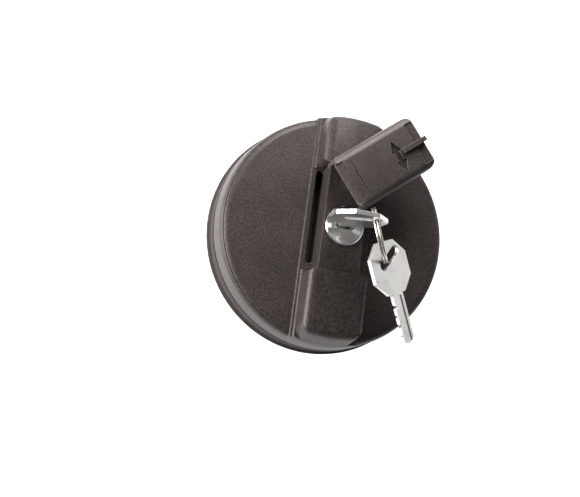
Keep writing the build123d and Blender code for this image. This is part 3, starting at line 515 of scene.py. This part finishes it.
def split_ring():
    """Two turns of flattened wire that step over each other beside the cut ends."""
    shape = bmesh.new()
    wide, thick, corner = RING_HALF_WIDE, RING_HALF_THICK, RING_CORNER
    outline = [(-wide + corner, -thick), (wide - corner, -thick), (wide, -thick + corner),
               (wide, thick - corner), (wide - corner, thick), (-wide + corner, thick),
               (-wide, thick - corner), (-wide, -thick + corner)]
    ring = [shape.verts.new((RING_RADIUS + out, 0, along)) for out, along in outline]
    total = 2 * RING_STEPS - RING_CUT
    bmesh.ops.spin(shape, geom=[shape.faces.new(ring)], cent=(0, 0, 0), axis=UP, use_merge=False,
                   dvec=(0, 0, 0), use_duplicate=False, angle=math.tau * total / RING_STEPS, steps=total)
    size = len(ring)
    shape.verts.ensure_lookup_table()
    for step in range(total + 1):
        share = (step - (RING_STEPS - RING_STEP_OVER)) / (2 * RING_STEP_OVER)
        share = min(1.0, max(0.0, share))
        offset = RING_RISE * (2 * share * share * (3 - 2 * share) - 1)
        bmesh.ops.translate(shape, verts=shape.verts[step * size:(step + 1) * size], vec=(0, 0, offset))
    side = RING_NORMAL.cross(RING_ACROSS)
    turn = Matrix((RING_ACROSS, side, RING_NORMAL)).transposed().to_4x4()
    place = Matrix.Translation(RING_MIDDLE) @ turn @ Matrix.Rotation(RING_CROSSING, 4, "Z")
    bmesh.ops.transform(shape, matrix=place, verts=shape.verts)
    piece = mesh_piece("split_ring", shape, RING_STEEL, "ring")
    smooth_curves(piece, 50)
    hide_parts("key_ring")


def bar_end(name, side):
    """End of the handle bar that slopes down flush into the skirt's band, rounded into the side walls."""
    shape = bmesh.new()
    height, half, reach = BAR_END_FOOT
    outline = [(-half, BAR_END_INSIDE), (half, BAR_END_INSIDE)]
    for step in range(BAR_END_ARC + 1):
        x = half * (1 - 2 * step / BAR_END_ARC)
        outline.append((x, math.sqrt(reach * reach - x * x)))
    ring = [shape.verts.new((x * MM, side * y * MM, height * MM)) for x, y in outline]
    shape.faces.new(ring)
    bmesh.ops.bevel(shape, geom=[ring[2], ring[-1]], offset=BAR_END_CORNER * MM, segments=8, profile=0.5,
                    affect="VERTICES", offset_type="OFFSET", material=-1)
    face = max(shape.faces, key=lambda part: part.calc_area())
    pivot = Matrix.Translation((0, -side * BAR_END_INSIDE * MM, 0))
    for next_height, next_half, next_reach in BAR_END_LEVELS:
        face, level = grown(shape, face)
        share = (next_reach - BAR_END_INSIDE) / (reach - BAR_END_INSIDE)
        bmesh.ops.scale(shape, verts=level, vec=(next_half / half, share, 1), space=pivot)
        bmesh.ops.translate(shape, verts=level, vec=(0, 0, (next_height - height) * MM))
        height, half, reach = next_height, next_half, next_reach
    piece = mesh_piece(name, shape, SHELL, "cap")
    smooth_curves(piece, 32)


def arrow_shade_sheet():
    """Dark sheet on the floor of the arrow engraved in the lid: painted shade of the engraving."""
    shape = bmesh.new()
    low, high = ARROW_FLOOR
    ring = [shape.verts.new(((x * ARROW_ROOM[0] + ARROW_MIDDLE[0]) * MM,
                             (y * ARROW_ROOM[1] + ARROW_MIDDLE[1]) * MM, low * MM))
            for x, y in ARROW_OUTLINE]
    top = grown(shape, shape.faces.new(ring))[1]
    bmesh.ops.translate(shape, verts=top, vec=(0, 0, (high - low) * MM))
    bmesh.ops.transform(shape, matrix=LID_FRAME, verts=shape.verts)
    mesh_piece("arrow_shade_sheet", shape, SHADE_PLASTIC, "lid")


def groove_shade_sheet():
    """Dark sheet on the floor of the groove between the lid's roof and its rounded near end: painted shade of
    the groove.
    """
    shape = bmesh.new()
    bmesh.ops.create_cube(shape, size=1.0)
    bmesh.ops.scale(shape, verts=shape.verts, vec=Vector(GROOVE_SIZE) * MM)
    bmesh.ops.translate(shape, verts=shape.verts, vec=Vector(GROOVE_MIDDLE) * MM)
    bmesh.ops.transform(shape, matrix=LID_FRAME, verts=shape.verts)
    mesh_piece("groove_shade_sheet", shape, SHADE_PLASTIC, "lid")


# ---------------------------------------------------------------- stage, lamps and camera
def set_camera():
    """Camera on the cap's outer side, rolled about its line of sight."""
    out = Vector((math.sin(CAMERA_AZIMUTH) * math.cos(CAMERA_ELEVATION),
                  -math.cos(CAMERA_AZIMUTH) * math.cos(CAMERA_ELEVATION), math.sin(CAMERA_ELEVATION)))
    level = (-out).cross(UP).normalized()
    above = level.cross(-out)
    right = math.cos(CAMERA_ROLL) * level + math.sin(CAMERA_ROLL) * above
    up = -math.sin(CAMERA_ROLL) * level + math.cos(CAMERA_ROLL) * above
    data = bpy.data.cameras.new("camera")
    data.sensor_width = SENSOR
    data.lens = FOCAL_LENGTH * SENSOR
    data.clip_start = 0.01
    data.clip_end = 20
    camera = bpy.data.objects.new("camera", data)
    camera.matrix_world = (Matrix.Translation(CAMERA_TARGET + out * CAMERA_AWAY)
                           @ Matrix((right, up, out)).transposed().to_4x4())
    bpy.context.scene.collection.objects.link(camera)
    bpy.context.scene.camera = camera


def lamp(name, toward, distance, size, power):
    """Square soft lamp that shines on the cap from that direction."""
    direction = Vector(toward).normalized()
    data = bpy.data.lights.new(name, "AREA")
    data.shape = "SQUARE"
    data.size = size
    data.energy = power
    light = bpy.data.objects.new(name, data)
    light.location = LAMP_TARGET + direction * distance
    light.rotation_mode = "QUATERNION"
    light.rotation_quaternion = (-direction).to_track_quat("-Z", "Y")
    bpy.context.scene.collection.objects.link(light)


def seen_by(tree, *kinds):
    """1 for these kinds of ray, 0 for the others."""
    path = tree.nodes.new("ShaderNodeLightPath")
    return combined(tree, "MAXIMUM", *(path.outputs[f"Is {kind} Ray"] for kind in kinds))


def white_floor():
    """Wide pale floor that the camera and mirrors see as white, with the soft shadow kept."""
    shape = bmesh.new()
    bmesh.ops.create_grid(shape, x_segments=1, y_segments=1, size=FLOOR_HALF)
    bmesh.ops.translate(shape, verts=shape.verts, vec=(0, 0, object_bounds()[0].z - FLOOR_GAP))
    made = bpy.data.materials.new("white floor")
    made.use_nodes = True
    tree = made.node_tree
    shader = tree.nodes["Principled BSDF"]
    shader.inputs["Base Color"].default_value = (FLOOR_TONE, FLOOR_TONE, FLOOR_TONE, 1)
    shader.inputs["Roughness"].default_value = 0.9
    shader.inputs["Specular IOR Level"].default_value = 0.0
    seen = seen_by(tree, "Camera", "Glossy", "Transmission")
    shader.inputs["Emission Color"].default_value = (1, 1, 1, 1)
    tree.links.new(math_node(tree, "MULTIPLY", seen, FLOOR_TONE), shader.inputs["Emission Strength"])
    made_object("floor", shape, made)


def set_world():
    """White surround for the camera, and a dim one for the light on the cap."""
    world = bpy.data.worlds.new("studio")
    world.use_nodes = True
    tree = world.node_tree
    surround = tree.nodes["Background"]
    surround.inputs["Color"].default_value = (1, 1, 1, 1)
    lit = spread(tree, seen_by(tree, "Glossy"), 0.0, 1.0, WORLD_DIFFUSE, WORLD_GLOSSY)
    seen = seen_by(tree, "Camera", "Transmission")
    tree.links.new(math_node(tree, "MAXIMUM", lit, seen), surround.inputs["Strength"])
    bpy.context.scene.world = world


finish_nodes()
thread_ridge()
split_ring()
bar_end("bar_end_near", -1)
bar_end("bar_end_far", 1)
arrow_shade_sheet()
groove_shade_sheet()
set_camera()
for values in LAMPS:
    lamp(*values)
white_floor()
set_world()
bpy.context.scene.view_settings.view_transform = "Standard"
